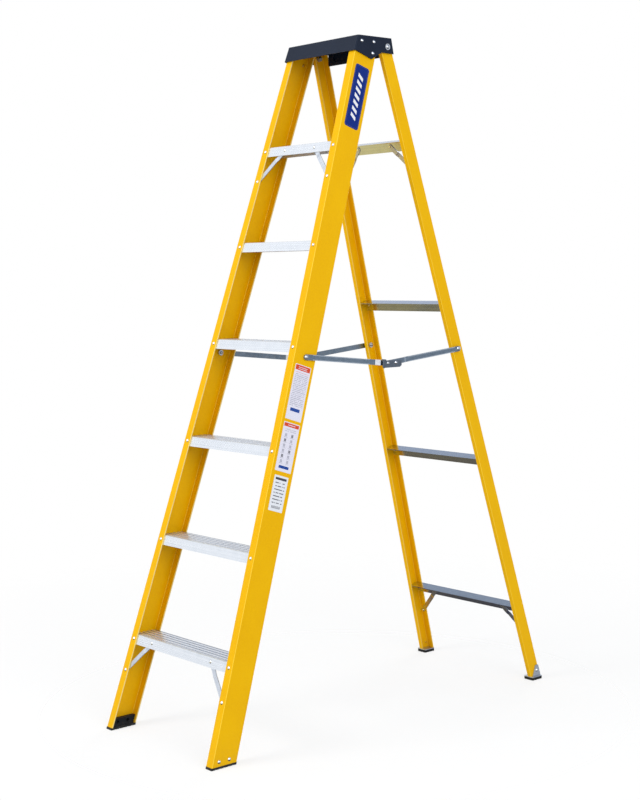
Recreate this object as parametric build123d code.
"""Single-sided step ladder: two fibreglass front rails with six treads and a moulded top cap,
a fibreglass rear frame hinged in the cap, and a folding steel spreader on each side."""

from build123d import *
import math
import os

# Axes: X runs across the ladder, -Y is the climbing side, +Y the rear frame, +Z is up.
# The origin is on the floor, in the middle of the open ladder. Millimetres.
# A "level" wall, depth or step back is measured along Y, across a leaning rail.

# Overall shape
SPREAD = 1397.0  # overall depth on the floor, open
BASE_HALF_WIDTH = 271.0  # outer face of a rail at the floor
RAIL_TAPER = 0.052  # each rail comes inwards by this much per unit of height
FRONT_LEAN = 0.328  # front rails lean back by this much per unit of height
REAR_LEAN = 0.274  # rear rails lean forward by this much per unit of height
CAP_TOP = 2108.5

# Front rail channel
FRONT_DEPTH = 87.5
FRONT_FLANGE = 28.6
FRONT_WALL = 4.2
FRONT_RAIL_TOP = 2098.0

# Rear rail channel
REAR_DEPTH = 45.7
REAR_RAIL_FLANGES = (15.5, 28.5)  # front and rear flange of a rear rail
REAR_WALL = 3.8
REAR_RIVET_INSET = 13.7
REAR_INSET = 1.2  # the rear rails run this far inside the front rails, clear of the cap
REAR_RAIL_ABOVE_PIVOT = 14.0

# Steps
STEP_COUNT = 6
STEP_PITCH = 300.0
FIRST_STEP_RIVET = 273.0  # height of the rivets of the lowest step
TREAD_ABOVE_RIVET = 12.5
SKIRT_BELOW_RIVET = 16.5
STEP_PLATE = 2.0
RIB_HEIGHT = 1.2
SEAT_GAP = 0.15  # level gap between a step or bar and the flange that it is riveted to
END_GAP = 1.5  # from a web to the end of a step or bar
FLANGE_RIVET_INSET = 15.7

# Flat braces
BRACE_WIDTH = 15.0
BRACE_PLATE = 2.0
STEP_BRACE_REACH = 97.0  # from the rivet on the rail inwards to the rivet on the step
STEP_BRACE_DROP = 94.0
REAR_BRACE_REACH = 93.0
REAR_BRACE_DROP = 92.0
BRACED_STEPS = (1, 6)
BRACE_RAMP = (34.0, 46.0)  # where a brace steps back to the rail's flange, from its upper rivet

# Rear bars
BAR_COUNT = 4
FIRST_BAR_TOP = 267.0
BAR_PITCH = 512.5
BAR_LEG = 36.0
BAR_PLATE = 2.2
BAR_RIVET_DROP = 16.5  # from the top of a bar down to its rivets
BRACED_BARS = (1, 4)

# Feet
SOLE_HEIGHT = 6.5
SOLE_LIP = 1.0
FOOT_BLOCK_HEIGHT = 30.0
FOOT_BLOCK_INNER = 20.0  # inner face of the block, from the outer face of the rail
FOOT_RIVET_HEIGHT = 19.5
FOOT_RIVETS_BACK = (21.8, 57.8)
FOOT_CLAMPED = 4.0  # thickness of the block under a rivet, at the bottom of its recess
FOOT_RECESS = 6.0
SOLE_GROOVE_PITCH = 15.0
PAD_GROOVE_PITCH = 13.0
GROOVE = 3.0
PAD_HEIGHT = 9.0
PAD_WIDTH = 40.0
PAD_DEPTH = 48.0
BRACKET_PLATE = 2.5
REAR_FOOT_INSET = 11.6  # from the outer face of a rear rail to the middle of its foot
EAR_TOP = 49.0
EAR_RIVET_HEIGHT = 30.0
EAR_RIVET_AHEAD = 13.0  # from the rear face of the rail

# Top cap
CAP_WALL = 4.0
CAP_SIDE_WALL = 5.0
CAP_SIDE_GAP = 0.6
CAP_SKIRT = 47.0  # height of the front skirt
CAP_FRONT_FLARE = 0.37
CAP_BACK_FLARE = 0.15
CAP_FRONT_AHEAD = 4.6  # front of the cap ahead of the rails, at the top
CAP_DEPTH_TOP = 140.5
CAP_CORNER = 5.0
CAP_DROP = 74.0  # height of the tapered block that the moulding is cut from
CAP_TIP_HEIGHT = 2038.5
CAP_TIP_BACK = 70.0  # from the rail's front corner to the tip of the gusset
CAP_NOTCH_BACK = 106.0  # from the same corner to where the gusset meets the rear part of the skirt
CAP_RIVETS = ((15.5, 2091.5), (65.0, 2091.5), (69.5, 2056.0))  # (back from the rail's front, height)
REAR_SKIRT = 53.0  # height of the back skirt
REAR_SKIRT_HALF = 129.5
NOTCH_GAP = 1.0  # from a rear rail to the side of its opening in the back wall
NOTCH_TOP = 2100.5

# Rear frame pivot, in the cap
PIVOT_HEIGHT = 2081.0
PIVOT_AHEAD = 21.2  # level distance ahead of the rear face of the rear rail
PIVOT_RADIUS = 5.0
RUNNING = 0.08  # radial clearance of a turning fit

# Spreaders
SPREADER_FRONT_HEIGHT = 1141.7
SPREADER_REAR_HEIGHT = 1138.0
SPREADER_JOINT_HEIGHT = 1107.5
SPREADER_JOINT_BACK = 326.0  # from the front pivot
SPREADER_GAP = 3.0  # from the rail to the arm
ARM_HEIGHT = 16.6
ARM_PLATE = 2.5
LAYER_GAP = 0.3
BEAD_WIDTH = 2.6
BEAD_HEIGHT = 1.2
CLIP_PLATE = 2.0
SPREADER_BOLT_RADIUS = 4.0
HINGE_PIN_RADIUS = 3.0
CLIP_RIVET_BACK = 33.5  # second rivet of the clip, behind the hinge pin
SPREADER_NUT_FLATS = 16.0

# Rivets
RIVET_SHANK = 2.6
RIVET_HEAD = 5.4
RIVET_HEAD_HEIGHT = 2.6
RIVET_TAIL = 4.2
CAP_RIVET_TAIL = 5.5
RIVET_TAIL_HEIGHT = 2.0

# Labels
LABEL_THICK = 0.4

FRONT_BASE_Y = SOLE_LIP - SPREAD / 2
REAR_BASE_Y = SPREAD / 2 + 2.0
FRONT_COS = 1 / math.hypot(1, FRONT_LEAN)
REAR_COS = 1 / math.hypot(1, REAR_LEAN)
FRONT_ALONG = Vector(-RAIL_TAPER, FRONT_LEAN, 1)
REAR_ALONG = Vector(-RAIL_TAPER, -REAR_LEAN, 1)
FORWARD = Vector(0, -1, FRONT_LEAN).normalized()  # out of the front rails' front faces
REARWARD = Vector(0, 1, REAR_LEAN).normalized()  # out of the rear rails' rear faces
OUTWARD = Vector(1, 0, RAIL_TAPER).normalized()  # out of the right rails' webs


def half_width(z):
    return BASE_HALF_WIDTH - RAIL_TAPER * z


def rear_half_width(z):
    return half_width(z) - REAR_INSET


def front_y(z, back=0.0):
    return FRONT_BASE_Y + FRONT_LEAN * z + back


def rear_y(z, ahead=0.0):
    return REAR_BASE_Y - REAR_LEAN * z - ahead


def step_rivet_height(number):
    return FIRST_STEP_RIVET + STEP_PITCH * (number - 1)


def bar_top(number):
    return FIRST_BAR_TOP + BAR_PITCH * (number - 1)


PIVOT = Vector(0, rear_y(PIVOT_HEIGHT, PIVOT_AHEAD), PIVOT_HEIGHT)
FRONT_PIN = Vector(0, front_y(SPREADER_FRONT_HEIGHT, FRONT_DEPTH / 2), SPREADER_FRONT_HEIGHT)
HINGE_PIN = Vector(0, FRONT_PIN.Y + SPREADER_JOINT_BACK, SPREADER_JOINT_HEIGHT)
REAR_PIN = Vector(0, rear_y(SPREADER_REAR_HEIGHT, REAR_DEPTH / 2), SPREADER_REAR_HEIGHT)
ARM_X = half_width(SPREADER_FRONT_HEIGHT) + SPREADER_GAP  # inner face of the spreader arms


def mirrored(shape):
    return mirror(shape, about=Plane.YZ)


def both_sides(solids):
    return Compound([*solids, *[mirrored(solid) for solid in solids]])


def save(shape, name):
    export_step(shape, f"parts/{name}.step")


# Fasteners


def dome_profile(radius, height):
    """Arc of a low dome, from its rim to its top."""
    ball = (radius**2 + height**2) / (2 * height)
    middle = 0.6 * radius
    rise = math.sqrt(ball**2 - middle**2) - (ball - height)
    return ThreePointArc((radius, 0), (middle, rise), (0, height))


def rivet(point, outward, grip, tail=RIVET_TAIL, head=RIVET_HEAD, shank=RIVET_SHANK):
    """Domed rivet whose head sits on the point; a tail of None leaves its end flush."""
    dome = dome_profile(head, RIVET_HEAD_HEIGHT)
    end = -grip if tail is None else -grip - RIVET_TAIL_HEIGHT
    corners = [(0, RIVET_HEAD_HEIGHT), (0, end)]
    if tail is not None:
        corners += [(tail - 0.8, end), (tail, -grip)]
    corners += [(shank, -grip), (shank, 0), (head, 0)]
    section = make_face([dome, Polyline(corners)])
    turned = revolve(Plane.XZ * section, Axis.Z)
    return Plane(origin=point, z_dir=outward).location * turned


def drill(point, outward, depth, radius=RIVET_SHANK):
    """Cutter for a hole that starts just above the point and goes in by the depth."""
    plane = Plane(origin=point + outward.normalized(), z_dir=outward.normalized() * -1)
    hole = Cylinder(radius, depth + 1, align=(Align.CENTER, Align.CENTER, Align.MIN))
    return plane.location * hole


def disc_x(centre, start, end, radius):
    """Round bar along X between two places, centred on a point's Y and Z."""
    plane = Plane(origin=(start, centre.Y, centre.Z), z_dir=(1, 0, 0))
    return plane.location * Cylinder(radius, end - start, align=(Align.CENTER, Align.CENTER, Align.MIN))


def hex_x(centre, start, end, flats):
    """Hexagonal bar along X between two places."""
    plane = Plane(origin=(start, centre.Y, centre.Z), z_dir=(1, 0, 0))
    return plane.location * extrude(RegularPolygon(flats / math.sqrt(3), 6), end - start)


def bolt_x(centre, seat, tip, radius, head, head_height):
    """Bolt along X with a domed head outboard of its seat, and a point as long as its radius."""
    dome = dome_profile(head, head_height)
    shoulder = tip - seat
    corners = [(0, head_height), (0, shoulder - radius), (radius, shoulder), (radius, 0), (head, 0)]
    turned = revolve(Plane.XZ * make_face([dome, Polyline(corners)]), Axis.Z)
    return Plane(origin=(seat, centre.Y, centre.Z), z_dir=(1, 0, 0)).location * turned


# Fastener places on the right-hand side, as (point on the outer surface, outward, grip)


def front_flange_point(z, back=0.0, inset=FLANGE_RIVET_INSET):
    return Vector(half_width(z) - inset, front_y(z, back), z)


def step_rivet_places():
    grip = (FRONT_WALL + SEAT_GAP + STEP_PLATE) * FRONT_COS
    places = []
    for number in range(1, STEP_COUNT + 1):
        z = step_rivet_height(number)
        places.append((front_flange_point(z), FORWARD, grip))
        places.append((front_flange_point(z, FRONT_DEPTH), FORWARD * -1, grip))
    return places


def step_brace_rivet_places(number):
    top = step_rivet_height(number)
    low = top - STEP_BRACE_DROP
    skirt = front_flange_point(low) - Vector(STEP_BRACE_REACH, 0, 0)
    skirt = Vector(skirt.X, front_y(top, FRONT_WALL + SEAT_GAP), top)
    on_step = (skirt, FORWARD, (STEP_PLATE + BRACE_PLATE / FRONT_COS) * FRONT_COS)
    on_rail = (front_flange_point(low), FORWARD, FRONT_WALL * FRONT_COS + BRACE_PLATE)
    return on_step, on_rail


def rear_flange_point(z, ahead=0.0):
    return Vector(rear_half_width(z) - REAR_RIVET_INSET, rear_y(z, ahead), z)


def bar_rivet_place(number):
    z = bar_top(number) - BAR_RIVET_DROP
    return rear_flange_point(z), REARWARD, (REAR_WALL + SEAT_GAP) * REAR_COS + BAR_PLATE


def rear_brace_rivet_places(number):
    top = bar_top(number) - BAR_RIVET_DROP
    low = top - REAR_BRACE_DROP
    leg = rear_flange_point(low) - Vector(REAR_BRACE_REACH, 0, 0)
    leg = Vector(leg.X, rear_y(top, REAR_WALL + SEAT_GAP), top)
    on_bar = (leg, REARWARD, BAR_PLATE + BRACE_PLATE)
    on_rail = (rear_flange_point(low), REARWARD, REAR_WALL * REAR_COS + BRACE_PLATE)
    return on_bar, on_rail


def cap_rivet_places():
    places = []
    for back, z in CAP_RIVETS:
        wall = CAP_SIDE_GAP + CAP_SIDE_WALL
        places.append((Vector(half_width(z) + wall, front_y(z, back), z), OUTWARD, wall + FRONT_WALL))
    return places


def front_foot_rivet_places():
    z = FOOT_RIVET_HEIGHT
    grip = FRONT_WALL + FOOT_CLAMPED
    return [(Vector(half_width(z), front_y(z, back), z), OUTWARD, grip) for back in FOOT_RIVETS_BACK]


def rear_foot_rivet_place():
    z = EAR_RIVET_HEIGHT
    point = Vector(rear_half_width(z), rear_y(z, EAR_RIVET_AHEAD), z) + OUTWARD * BRACKET_PLATE
    return point, OUTWARD, BRACKET_PLATE + REAR_WALL


def rivets_at(places, tail=RIVET_TAIL):
    return both_sides([rivet(*place, tail=tail) for place in places])


def drilled(shape, places):
    return shape - [drill(point, outward, grip + 1) for point, outward, grip in places]


# Rails


def channel(corner_x, corner_y, z, flanges, depth, wall):
    """Level section of a right-hand channel rail: web outboard, front and rear flange inwards."""
    front, rear = flanges
    web = Rectangle(wall, depth, align=(Align.MAX, Align.MIN))
    front_flange = Rectangle(front, wall, align=(Align.MAX, Align.MIN))
    rear_flange = Pos(0, depth) * Rectangle(rear, wall, align=(Align.MAX, Align.MAX))
    section = web + front_flange + rear_flange
    for across, radius in ((0, 2.5), (wall, 2.0)):
        section = fillet([v for v in section.vertices() if abs(v.X + across) < 0.01], radius)
    for across in sorted({front, rear}):
        section = fillet([v for v in section.vertices() if abs(v.X + across) < 0.01], 1.0)
    return Plane((corner_x, corner_y, z)) * section


def front_rail():
    section = channel(
        half_width(SOLE_HEIGHT),
        front_y(SOLE_HEIGHT),
        SOLE_HEIGHT,
        (FRONT_FLANGE, FRONT_FLANGE),
        FRONT_DEPTH,
        FRONT_WALL,
    )
    rise = FRONT_RAIL_TOP - SOLE_HEIGHT
    rail = extrude(section, rise * FRONT_ALONG.length, dir=FRONT_ALONG)
    places = step_rivet_places() + cap_rivet_places() + front_foot_rivet_places()
    places += [step_brace_rivet_places(number)[1] for number in BRACED_STEPS]
    rail = drilled(rail, places)
    return rail - disc_x(FRONT_PIN, 0, ARM_X, SPREADER_BOLT_RADIUS)


def rear_rail():
    bottom = PAD_HEIGHT + BRACKET_PLATE
    section = channel(
        rear_half_width(bottom),
        rear_y(bottom, REAR_DEPTH),
        bottom,
        REAR_RAIL_FLANGES,
        REAR_DEPTH,
        REAR_WALL,
    )
    rail = extrude(section, (CAP_TOP - bottom) * REAR_ALONG.length, dir=REAR_ALONG)
    along = Vector(0, -REAR_LEAN, 1).normalized()
    end = Plane(origin=PIVOT + along * REAR_RAIL_ABOVE_PIVOT, z_dir=along)
    rail -= end.location * Box(600, 600, 200, align=(Align.CENTER, Align.CENTER, Align.MIN))
    places = [bar_rivet_place(number) for number in range(1, BAR_COUNT + 1)]
    places += [rear_brace_rivet_places(number)[1] for number in BRACED_BARS]
    places.append(rear_foot_rivet_place())
    rail = drilled(rail, places)
    rail -= disc_x(REAR_PIN, 0, ARM_X, SPREADER_BOLT_RADIUS)
    return rail - disc_x(PIVOT, 0, ARM_X, PIVOT_RADIUS + RUNNING)


# Steps, bars and braces


def tread_ribs():
    """Start and end of each raised rib, from the front edge of the tread backwards."""
    ribs = [(0.6, 2.4)]
    ribs += [(start, start + 1.6) for start in (3.6, 6.8, 10.0)]
    pad = 14.5
    while pad < FRONT_DEPTH - 2 * FRONT_WALL - 12:
        ribs.append((pad, pad + 9.0))
        pad += 15.5
    return ribs


def step_profile(number):
    """Y and Z section of a tread with a skirt along its front and its back."""
    top = step_rivet_height(number) + TREAD_ABOVE_RIVET
    low = step_rivet_height(number) - SKIRT_BELOW_RIVET
    base = top - RIB_HEIGHT
    under = base - STEP_PLATE
    front = FRONT_WALL + SEAT_GAP
    back = FRONT_DEPTH - FRONT_WALL - SEAT_GAP
    outline = [(front_y(low, front), low), (front_y(base, front), base)]
    edge = front_y(base, front)
    for start, end in tread_ribs():
        outline += [(edge + start, base), (edge + start, top), (edge + end, top), (edge + end, base)]
    outline += [(front_y(base, back), base), (front_y(low, back), low)]
    outline += [(front_y(low, back - STEP_PLATE), low), (front_y(under, back - STEP_PLATE), under)]
    outline += [(front_y(under, front + STEP_PLATE), under), (front_y(low, front + STEP_PLATE), low)]
    return [point for i, point in enumerate(outline) if i == 0 or point != outline[i - 1]]


def step(number):
    top = step_rivet_height(number) + TREAD_ABOVE_RIVET
    half = half_width(top) - FRONT_WALL - END_GAP
    face = make_face(Polyline(step_profile(number), close=True))
    body = extrude(Plane.YZ * face, half, both=True)
    places = [place for place in step_rivet_places() if place[0].Z == step_rivet_height(number)]
    if number in BRACED_STEPS:
        places.append(step_brace_rivet_places(number)[0])
    cutters = [drill(point, outward, grip + 1) for point, outward, grip in places]
    return body - cutters - [mirrored(cutter) for cutter in cutters]


def rear_bar(number):
    """Angle bar, square to the rails: a leg against the rear flanges, and a plate that reaches forward."""
    top = bar_top(number)
    reach = (REAR_DEPTH - 2 * (REAR_WALL + SEAT_GAP)) * REAR_COS
    outline = [(0, 0), (reach, 0), (reach, BAR_PLATE), (BAR_PLATE, BAR_PLATE)]
    outline += [(BAR_PLATE, BAR_LEG), (0, BAR_LEG)]
    corner = Vector(0, rear_y(top, REAR_WALL + SEAT_GAP), top)
    section = make_face(Polyline(outline, close=True))
    face = Plane(origin=corner, x_dir=REARWARD * -1, z_dir=(1, 0, 0)) * section
    half = rear_half_width(top) - REAR_WALL - END_GAP
    body = extrude(face, half, both=True)
    places = [bar_rivet_place(number)]
    if number in BRACED_BARS:
        places.append(rear_brace_rivet_places(number)[0])
    cutters = [drill(point, outward, grip + 1) for point, outward, grip in places]
    return body - cutters - [mirrored(cutter) for cutter in cutters]


def joggled_strip(length, width, plate, lift, ramp_start, ramp_end):
    """Flat strip with round ends, from a lifted end at the origin to a seated end along X."""
    outline = Pos(length / 2, 0) * SlotCenterToCenter(length, width)
    block = extrude(outline, lift + plate)
    start = -width
    end = length + width
    side = [(start, lift), (ramp_start, lift), (ramp_end, 0), (end, 0)]
    side += [(end, plate), (ramp_end, plate), (ramp_start, lift + plate), (start, lift + plate)]
    return block & extrude(Plane.XZ * make_face(Polyline(side, close=True)), width, both=True)


def brace(upper, lower, normal, lift):
    """Strip between two rivets; normal points away from the flange that it is seated on."""
    span = lower - upper
    strip = joggled_strip(span.length, BRACE_WIDTH, BRACE_PLATE, lift, *BRACE_RAMP)
    return Plane(origin=upper, x_dir=span, z_dir=normal).location * strip


def step_brace(number):
    places = step_brace_rivet_places(number)
    top = places[0][0].Z
    upper = Vector(places[0][0].X, front_y(top, FRONT_WALL), top)
    low = places[1][0].Z
    lower = Vector(places[1][0].X, front_y(low, FRONT_WALL), low)
    strip = brace(upper, lower, FORWARD * -1, (SEAT_GAP + STEP_PLATE) * FRONT_COS)
    return drilled(strip, places)


def rear_brace(number):
    places = rear_brace_rivet_places(number)
    top = places[0][0].Z
    upper = Vector(places[0][0].X, rear_y(top, REAR_WALL), top)
    low = places[1][0].Z
    lower = Vector(places[1][0].X, rear_y(low, REAR_WALL), low)
    strip = brace(upper, lower, REARWARD * -1, SEAT_GAP * REAR_COS + BAR_PLATE)
    return drilled(strip, places)


# Feet


def groove_cutter():
    """Cutter for a groove across the underside of a foot."""
    return Box(120, GROOVE, GROOVE)


def front_foot():
    """Sole under the rail's end, with a block that fills the channel behind two rivets."""
    sole_section = Rectangle(
        FRONT_FLANGE + 2 * SOLE_LIP, FRONT_DEPTH + 2 * SOLE_LIP, align=(Align.MAX, Align.MIN)
    )
    sole_section = fillet(sole_section.vertices(), 3)
    corner = Plane((BASE_HALF_WIDTH + SOLE_LIP, front_y(0, -SOLE_LIP), 0))
    sole = extrude(corner * sole_section, SOLE_HEIGHT * FRONT_ALONG.length, dir=FRONT_ALONG)
    for n in range(5):
        sole -= Pos(BASE_HALF_WIDTH, front_y(0, 14 + SOLE_GROOVE_PITCH * n), 0) * groove_cutter()
    clear = FRONT_WALL + 0.25
    block_section = Rectangle(
        FOOT_BLOCK_INNER - clear, FRONT_DEPTH - 2 * clear, align=(Align.MAX, Align.MIN)
    )
    block_section = chamfer([v for v in block_section.vertices() if abs(v.X) < 0.01], 2)
    place = Plane((half_width(SOLE_HEIGHT) - clear, front_y(SOLE_HEIGHT, clear), SOLE_HEIGHT))
    rise = FOOT_BLOCK_HEIGHT - SOLE_HEIGHT
    foot = sole + extrude(place * block_section, rise * FRONT_ALONG.length, dir=FRONT_ALONG)
    for point, outward, grip in front_foot_rivet_places():
        foot -= drill(point, outward, grip + 1)
        foot -= drill(point - outward * (grip + 1), outward, FRONT_FLANGE, FOOT_RECESS)
    return foot


def rear_foot_centre():
    return rear_half_width(0) - REAR_FOOT_INSET, (SPREAD - PAD_DEPTH) / 2


def rear_foot_outline():
    return fillet(Rectangle(PAD_WIDTH, PAD_DEPTH).vertices(), 4)


def rear_foot_pad():
    """Rubber pad with grooves across its underside."""
    x, y = rear_foot_centre()
    pad = extrude(Plane((x, y, 0)) * rear_foot_outline(), PAD_HEIGHT)
    for n in range(-1, 2):
        pad -= Pos(x, y + PAD_GROOVE_PITCH * n, 0) * groove_cutter()
    return pad


def rear_foot_bracket():
    """Base plate with a tapering ear up the outside of the rail."""
    x, y = rear_foot_centre()
    plate = extrude(Plane((x, y, PAD_HEIGHT)) * rear_foot_outline(), BRACKET_PLATE)
    foot_z = PAD_HEIGHT + 0.5
    ear_plane = Plane(
        origin=(rear_half_width(foot_z), rear_y(foot_z, REAR_DEPTH / 2), foot_z),
        x_dir=(0, 1, 0),
        z_dir=OUTWARD,
    )
    rise = EAR_TOP - foot_z
    outline = [(-17, 0), (22.8, 0), (22.8 - REAR_LEAN * rise, rise), (-2, rise)]
    ear_face = make_face(Polyline(outline, close=True))
    ear_face = fillet([v for v in ear_face.vertices() if v.Y > 1], 6)
    ear = ear_plane.location * extrude(ear_face, BRACKET_PLATE)
    return drilled(plate + ear, [rear_foot_rivet_place()])


# Top cap


def cap_outline(z, inset, side_inset):
    """Level outline of the moulding at a height: rounded outside, square where it is moved in."""
    top_front = front_y(CAP_TOP) - CAP_FRONT_AHEAD
    drop = CAP_TOP - z
    front = top_front - CAP_FRONT_FLARE * drop + inset
    back = top_front + CAP_DEPTH_TOP + CAP_BACK_FLARE * drop - inset
    half = half_width(z) + CAP_SIDE_GAP + CAP_SIDE_WALL - side_inset
    section = Rectangle(2 * half, back - front)
    if inset == 0:
        section = fillet(section.vertices(), CAP_CORNER)
    return Plane((0, (front + back) / 2, z)) * section


def cap_under_cut():
    """Everything below the cap's edges: level skirts, with a pointed gusset over each front rail."""
    skirt = CAP_TOP - CAP_SKIRT
    corner = front_y(skirt, -3)
    tip = front_y(CAP_TIP_HEIGHT, CAP_TIP_BACK)
    notch = front_y(skirt, CAP_NOTCH_BACK)
    start = corner - CAP_SKIRT
    end = notch + CAP_DEPTH_TOP
    low = CAP_TOP - 2 * CAP_DROP
    outline = [(start, skirt), (corner, skirt), (tip, CAP_TIP_HEIGHT), (notch, skirt + 0.5)]
    outline += [(end, skirt - 1.5), (end, low), (start, low)]
    return extrude(Plane.YZ * make_face(Polyline(outline, close=True)), BASE_HALF_WIDTH, both=True)


def top_cap():
    low = CAP_TOP - CAP_DROP
    ceiling = CAP_TOP - CAP_WALL
    outer = loft([cap_outline(low, 0, 0), cap_outline(CAP_TOP, 0, 0)], ruled=True)
    inner = loft(
        [cap_outline(low - 1, CAP_WALL, CAP_SIDE_WALL), cap_outline(ceiling, CAP_WALL, CAP_SIDE_WALL)],
        ruled=True,
    )
    body = outer - inner
    body = body - cap_under_cut() - rear_rail_notches()
    body += rear_skirt() + cap_ribs()
    body -= tray()
    body = drilled(body, cap_rivet_places())
    body = drilled(mirrored(body), cap_rivet_places())
    return body - disc_x(PIVOT, -BASE_HALF_WIDTH, BASE_HALF_WIDTH, PIVOT_RADIUS)


def rear_rail_notches():
    """Openings in the back wall, so that the tops of the rear rails clear it as they fold."""
    low = CAP_TOP - 2 * CAP_DROP
    outer = rear_half_width(low) + NOTCH_GAP
    section = Rectangle(outer - REAR_SKIRT_HALF, 40, align=(Align.MAX, Align.CENTER))
    back = front_y(CAP_TOP) - CAP_FRONT_AHEAD + CAP_DEPTH_TOP
    rise = Vector(-RAIL_TAPER, 0, 1)
    notch = extrude(Plane((outer, back + 8, low)) * section, (NOTCH_TOP - low) * rise.length, dir=rise)
    return notch + mirrored(notch)


def rear_skirt():
    """Back skirt between the rear rails, with the raised rim of a hand hold on its inner face."""
    low = CAP_TOP - REAR_SKIRT
    back = front_y(CAP_TOP) - CAP_FRONT_AHEAD + CAP_DEPTH_TOP
    wall = Pos(0, back, low) * Box(
        2 * REAR_SKIRT_HALF, CAP_WALL, REAR_SKIRT - 1, align=(Align.CENTER, Align.MAX, Align.MIN)
    )
    ring = SlotOverall(210, 30) - SlotOverall(204, 24)
    face = Plane(origin=(0, back - CAP_WALL + 0.5, low + 22), x_dir=(1, 0, 0), z_dir=(0, -1, 0))
    return wall + extrude(face * ring, 3.5)


def cap_ribs():
    """Stiffening ribs under the top, clear of the rails."""
    ceiling = CAP_TOP - CAP_WALL
    front = front_y(CAP_TOP) - CAP_FRONT_AHEAD + CAP_WALL - 1
    depth = CAP_DEPTH_TOP - 2 * CAP_WALL + 2
    ribs = [
        Pos(x, front, ceiling + 1) * Box(2.5, depth, 15, align=(Align.CENTER, Align.MIN, Align.MAX))
        for x in (-125, -62.5, 0, 62.5, 125)
    ]
    return ribs[0] + ribs[1:]


def tray():
    """Shallow tray in the top of the cap, with raised anti-slip ribs left standing."""
    front = front_y(CAP_TOP) - CAP_FRONT_AHEAD
    middle = front + CAP_DEPTH_TOP / 2
    half = half_width(CAP_TOP)
    field = fillet(Rectangle(2 * half - 24, CAP_DEPTH_TOP - 28).vertices(), 6)
    recess = Pos(0, middle, CAP_TOP - 1.6) * extrude(field, 3)
    ribs = [Pos(0, middle - 44 + 11 * n, CAP_TOP) * Box(2 * half - 60, 3, 10) for n in range(9)]
    return recess - ribs


# Spreaders, in the plane of the right-hand arms


def arm_frame(start, end, x):
    span = end - start
    return Plane(origin=(x, start.Y, start.Z), x_dir=span, z_dir=(1, 0, 0))


def arm_beads(start, end):
    """Raised edges along an arm between two distances from its start."""
    length = end - start
    offset = (ARM_HEIGHT - BEAD_WIDTH) / 2
    bead = SlotCenterToCenter(length - BEAD_WIDTH, BEAD_WIDTH)
    middle = (start + end) / 2
    return [extrude(Pos(middle, side * offset, ARM_PLATE) * bead, BEAD_HEIGHT) for side in (-1, 1)]


def spreader_front_arm():
    length = (HINGE_PIN - FRONT_PIN).length
    plate = extrude(Pos(length / 2, 0) * SlotCenterToCenter(length, ARM_HEIGHT), ARM_PLATE)
    arm = plate + arm_beads(24, length - 75)
    arm -= Cylinder(SPREADER_BOLT_RADIUS + RUNNING, 20)
    arm -= Pos(length, 0, 0) * Cylinder(HINGE_PIN_RADIUS + RUNNING, 20)
    return arm_frame(FRONT_PIN, HINGE_PIN, ARM_X).location * arm


def spreader_rear_arm():
    """Arm that passes outside the front arm at the hinge, then steps in to the same plane."""
    length = (REAR_PIN - HINGE_PIN).length
    strip = joggled_strip(length, ARM_HEIGHT, ARM_PLATE, ARM_PLATE + LAYER_GAP, 66, 82)
    arm = strip + arm_beads(90, length - 20)
    arm -= Pos(length, 0, 0) * Cylinder(SPREADER_BOLT_RADIUS, 20)
    arm = arm_frame(HINGE_PIN, REAR_PIN, ARM_X).location * arm
    arm -= disc_x(HINGE_PIN, 0, 300, HINGE_PIN_RADIUS)
    return arm - disc_x(clip_rivet_centre(), 0, 300, RIVET_SHANK)


def clip_rivet_centre():
    return HINGE_PIN + Vector(0, CLIP_RIVET_BACK, 0)


def spreader_clip():
    """Plate over the hinge, with a tab that comes down on the front arm at full spread."""
    front = -22.6
    back = 57.8
    top = 9.5
    low = -14.0
    outline = [(front, top), (back, top - 3), (back, low + 5), (back - 8, low), (front + 9, low)]
    outline += [(front + 5, low - 2), (front, low + 4)]
    face = make_face(Polyline(outline, close=True))
    face = fillet([v for v in face.vertices() if v.X > back - 9], 3)
    lip = Pos(front + 1, 0, 0) * Box(
        2, 20, CLIP_PLATE + 1.6, align=(Align.CENTER, Align.CENTER, Align.MIN)
    )
    seat = Vector(ARM_X + 2 * ARM_PLATE + LAYER_GAP, HINGE_PIN.Y, HINGE_PIN.Z)
    at = Plane(origin=seat, x_dir=(0, 1, 0), z_dir=(1, 0, 0))
    plate = at.location * (extrude(face, CLIP_PLATE) + lip)
    tab_length = 12.0
    tab_middle = -9.0 - tab_length / 2
    tab_plate = 2.4
    under = ARM_HEIGHT / 2 + LAYER_GAP
    depth = 2 * ARM_PLATE + LAYER_GAP + CLIP_PLATE
    tab = Pos(tab_middle, under, 0) * Box(
        tab_length, tab_plate, depth, align=(Align.CENTER, Align.MIN, Align.MIN)
    )
    web = Pos(tab_middle, 0, depth - CLIP_PLATE) * Box(
        tab_length, under + tab_plate, CLIP_PLATE, align=(Align.CENTER, Align.MIN, Align.MIN)
    )
    towards = HINGE_PIN - FRONT_PIN
    frame = Plane(origin=(ARM_X, HINGE_PIN.Y, HINGE_PIN.Z), x_dir=towards, z_dir=(1, 0, 0))
    clip = plate + frame.location * (tab + web)
    clip -= disc_x(HINGE_PIN, 0, 300, HINGE_PIN_RADIUS)
    return clip - disc_x(clip_rivet_centre(), 0, 300, RIVET_SHANK)


CLIP_FACE = ARM_X + 2 * ARM_PLATE + LAYER_GAP + CLIP_PLATE


def spreader_hinge_pin():
    """Pin through the clip and both arms, with a low head behind the front arm."""
    point = Vector(CLIP_FACE, HINGE_PIN.Y, HINGE_PIN.Z)
    grip = CLIP_FACE - ARM_X + LAYER_GAP
    return rivet(point, Vector(1, 0, 0), grip, tail=5.0, shank=HINGE_PIN_RADIUS)


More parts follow.
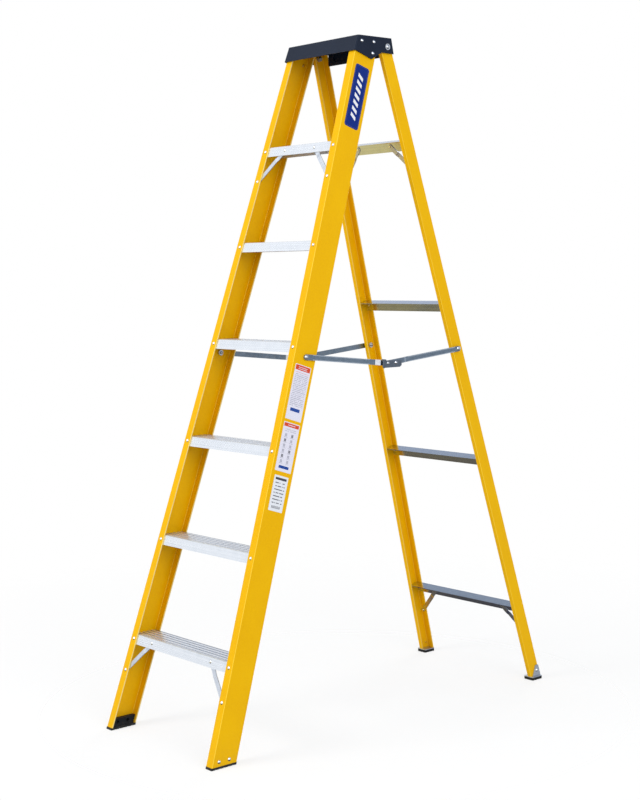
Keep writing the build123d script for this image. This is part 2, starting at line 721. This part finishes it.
def spreader_clip_rivet():
    centre = clip_rivet_centre()
    point = Vector(CLIP_FACE, centre.Y, centre.Z)
    return rivet(point, Vector(1, 0, 0), ARM_PLATE + CLIP_PLATE, tail=None)


def spreader_rear_head():
    """Head and stub of the rear pivot fastener, up to its shear plane behind the arm."""
    point = Vector(ARM_X + ARM_PLATE, REAR_PIN.Y, REAR_PIN.Z)
    return rivet(point, Vector(1, 0, 0), ARM_PLATE, tail=None, head=7.8, shank=SPREADER_BOLT_RADIUS)


def spreader_bolt(pin, seat, web_inner):
    return bolt_x(pin, seat, web_inner - 11, SPREADER_BOLT_RADIUS, 7.5, 3.2)


def ring_x(pin, start, end, radius, hole):
    return disc_x(pin, start, end, radius) - disc_x(pin, start - 1, end + 1, hole)


def seated_nut(pin, start, end, rail):
    """Spreader nut along X, trimmed where it meets the sloping web of a rail."""
    nut = hex_x(pin, start, end, SPREADER_NUT_FLATS) - disc_x(pin, start - 1, end + 1, SPREADER_BOLT_RADIUS)
    return largest(nut - rail)


def largest(shape):
    return max(shape.solids(), key=lambda solid: solid.volume)


# Labels on the right-hand front rail


def label(top, length, width, radius):
    """Sticker with its top edge's middle at a height, square to the rail."""
    along = FRONT_ALONG.normalized()
    centre = Vector(half_width(top), front_y(top, FRONT_DEPTH / 2), top) - along * (length / 2)
    face = fillet(Rectangle(width, length).vertices(), radius)
    plane = Plane(origin=centre, x_dir=along.cross(OUTWARD), z_dir=OUTWARD)
    return plane.location * extrude(face, LABEL_THICK)


# Build


def build_front_frame():
    rail = front_rail()
    save(rail, "front_rail_right")
    save(mirrored(rail), "front_rail_left")
    for number in range(1, STEP_COUNT + 1):
        save(step(number), f"step_{number}")
    save(rivets_at(step_rivet_places()), "step_rivets")
    brace_places = []
    for number in BRACED_STEPS:
        strip = step_brace(number)
        save(strip, f"step_{number}_brace_right")
        save(mirrored(strip), f"step_{number}_brace_left")
        brace_places += step_brace_rivet_places(number)
    save(rivets_at(brace_places), "step_brace_rivets")
    foot = front_foot()
    save(foot, "front_foot_right")
    save(mirrored(foot), "front_foot_left")
    save(rivets_at(front_foot_rivet_places()), "front_foot_rivets")
    web_inner = half_width(SPREADER_FRONT_HEIGHT) - FRONT_WALL
    seat = ARM_X + ARM_PLATE + LAYER_GAP
    save(both_sides([spreader_bolt(FRONT_PIN, seat, web_inner)]), "spreader_front_bolts")
    nut = seated_nut(FRONT_PIN, web_inner - 7, web_inner + 2, rail)
    save(both_sides([nut]), "spreader_front_nuts")
    ring = ring_x(FRONT_PIN, web_inner + 2, ARM_X - LAYER_GAP, 8, SPREADER_BOLT_RADIUS)
    save(both_sides([largest(ring - rail)]), "spreader_front_spacers")


def build_cap():
    cap = top_cap()
    save(cap, "top_cap")
    save(rivets_at(cap_rivet_places(), CAP_RIVET_TAIL), "cap_rivets")
    wall_outer = half_width(PIVOT_HEIGHT) + CAP_SIDE_GAP + CAP_SIDE_WALL
    washer_face = wall_outer + 1.6
    inner = rear_half_width(PIVOT_HEIGHT) - REAR_WALL - 0.9
    bolt = bolt_x(PIVOT, washer_face, inner - 12, PIVOT_RADIUS, 7.5, 3.5)
    save(both_sides([bolt]), "pivot_bolts")
    outer_washer = ring_x(PIVOT, wall_outer - 1, washer_face, 9.5, PIVOT_RADIUS) - cap
    inner_washer = ring_x(PIVOT, inner - 1.6, inner, 9.5, PIVOT_RADIUS)
    save(both_sides([outer_washer, inner_washer]), "pivot_washers")
    nut = hex_x(PIVOT, inner - 9, inner - 1.6, 15) - disc_x(PIVOT, inner - 20, inner, PIVOT_RADIUS)
    save(both_sides([nut]), "pivot_nuts")


def build_rear_frame():
    rail = rear_rail()
    save(rail, "rear_rail_right")
    save(mirrored(rail), "rear_rail_left")
    bar_places = []
    for number in range(1, BAR_COUNT + 1):
        save(rear_bar(number), f"rear_bar_{number}")
        bar_places.append(bar_rivet_place(number))
    save(rivets_at(bar_places), "rear_bar_rivets")
    brace_places = []
    for number in BRACED_BARS:
        strip = rear_brace(number)
        save(strip, f"rear_bar_{number}_brace_right")
        save(mirrored(strip), f"rear_bar_{number}_brace_left")
        brace_places += rear_brace_rivet_places(number)
    save(rivets_at(brace_places), "rear_brace_rivets")
    bracket = rear_foot_bracket()
    save(bracket, "rear_foot_bracket_right")
    save(mirrored(bracket), "rear_foot_bracket_left")
    pad = rear_foot_pad()
    save(pad, "rear_foot_pad_right")
    save(mirrored(pad), "rear_foot_pad_left")
    save(rivets_at([rear_foot_rivet_place()]), "rear_foot_rivets")
    web_inner = rear_half_width(SPREADER_REAR_HEIGHT) - REAR_WALL
    shear = ARM_X - LAYER_GAP
    stub = disc_x(REAR_PIN, web_inner - 11, shear, SPREADER_BOLT_RADIUS)
    tip = Plane(origin=(web_inner - 11, REAR_PIN.Y, REAR_PIN.Z), z_dir=(-1, 0, 0))
    cone = tip.location * Cone(SPREADER_BOLT_RADIUS, 0.4, 4, align=(Align.CENTER, Align.CENTER, Align.MIN))
    save(both_sides([stub + cone]), "spreader_rear_bolts")
    nut = seated_nut(REAR_PIN, web_inner - 7, web_inner + 2, rail)
    save(both_sides([nut]), "spreader_rear_nuts")
    ring = ring_x(REAR_PIN, web_inner + 2, shear, 8, SPREADER_BOLT_RADIUS)
    save(both_sides([largest(ring - rail)]), "spreader_rear_spacers")


def build_spreaders():
    pieces = {
        "spreader_front_arm": spreader_front_arm(),
        "spreader_rear_arm": spreader_rear_arm(),
        "spreader_clip": spreader_clip(),
        "spreader_hinge_pin": spreader_hinge_pin(),
        "spreader_clip_rivet": spreader_clip_rivet(),
        "spreader_rear_head": spreader_rear_head(),
    }
    for name, piece in pieces.items():
        save(piece, f"{name}_right")
        save(mirrored(piece), f"{name}_left")


def build_labels():
    save(label(2014.5, 199, 56, 8), "name_plate")
    panels = Compound([label(1117, 166, 61, 2), label(951, 146, 61, 2)])
    save(panels, "instruction_labels")
    save(label(800.5, 105, 53, 2), "rating_label")


os.makedirs("parts", exist_ok=True)
build_front_frame()
build_cap()
build_rear_frame()
build_spreaders()
build_labels()
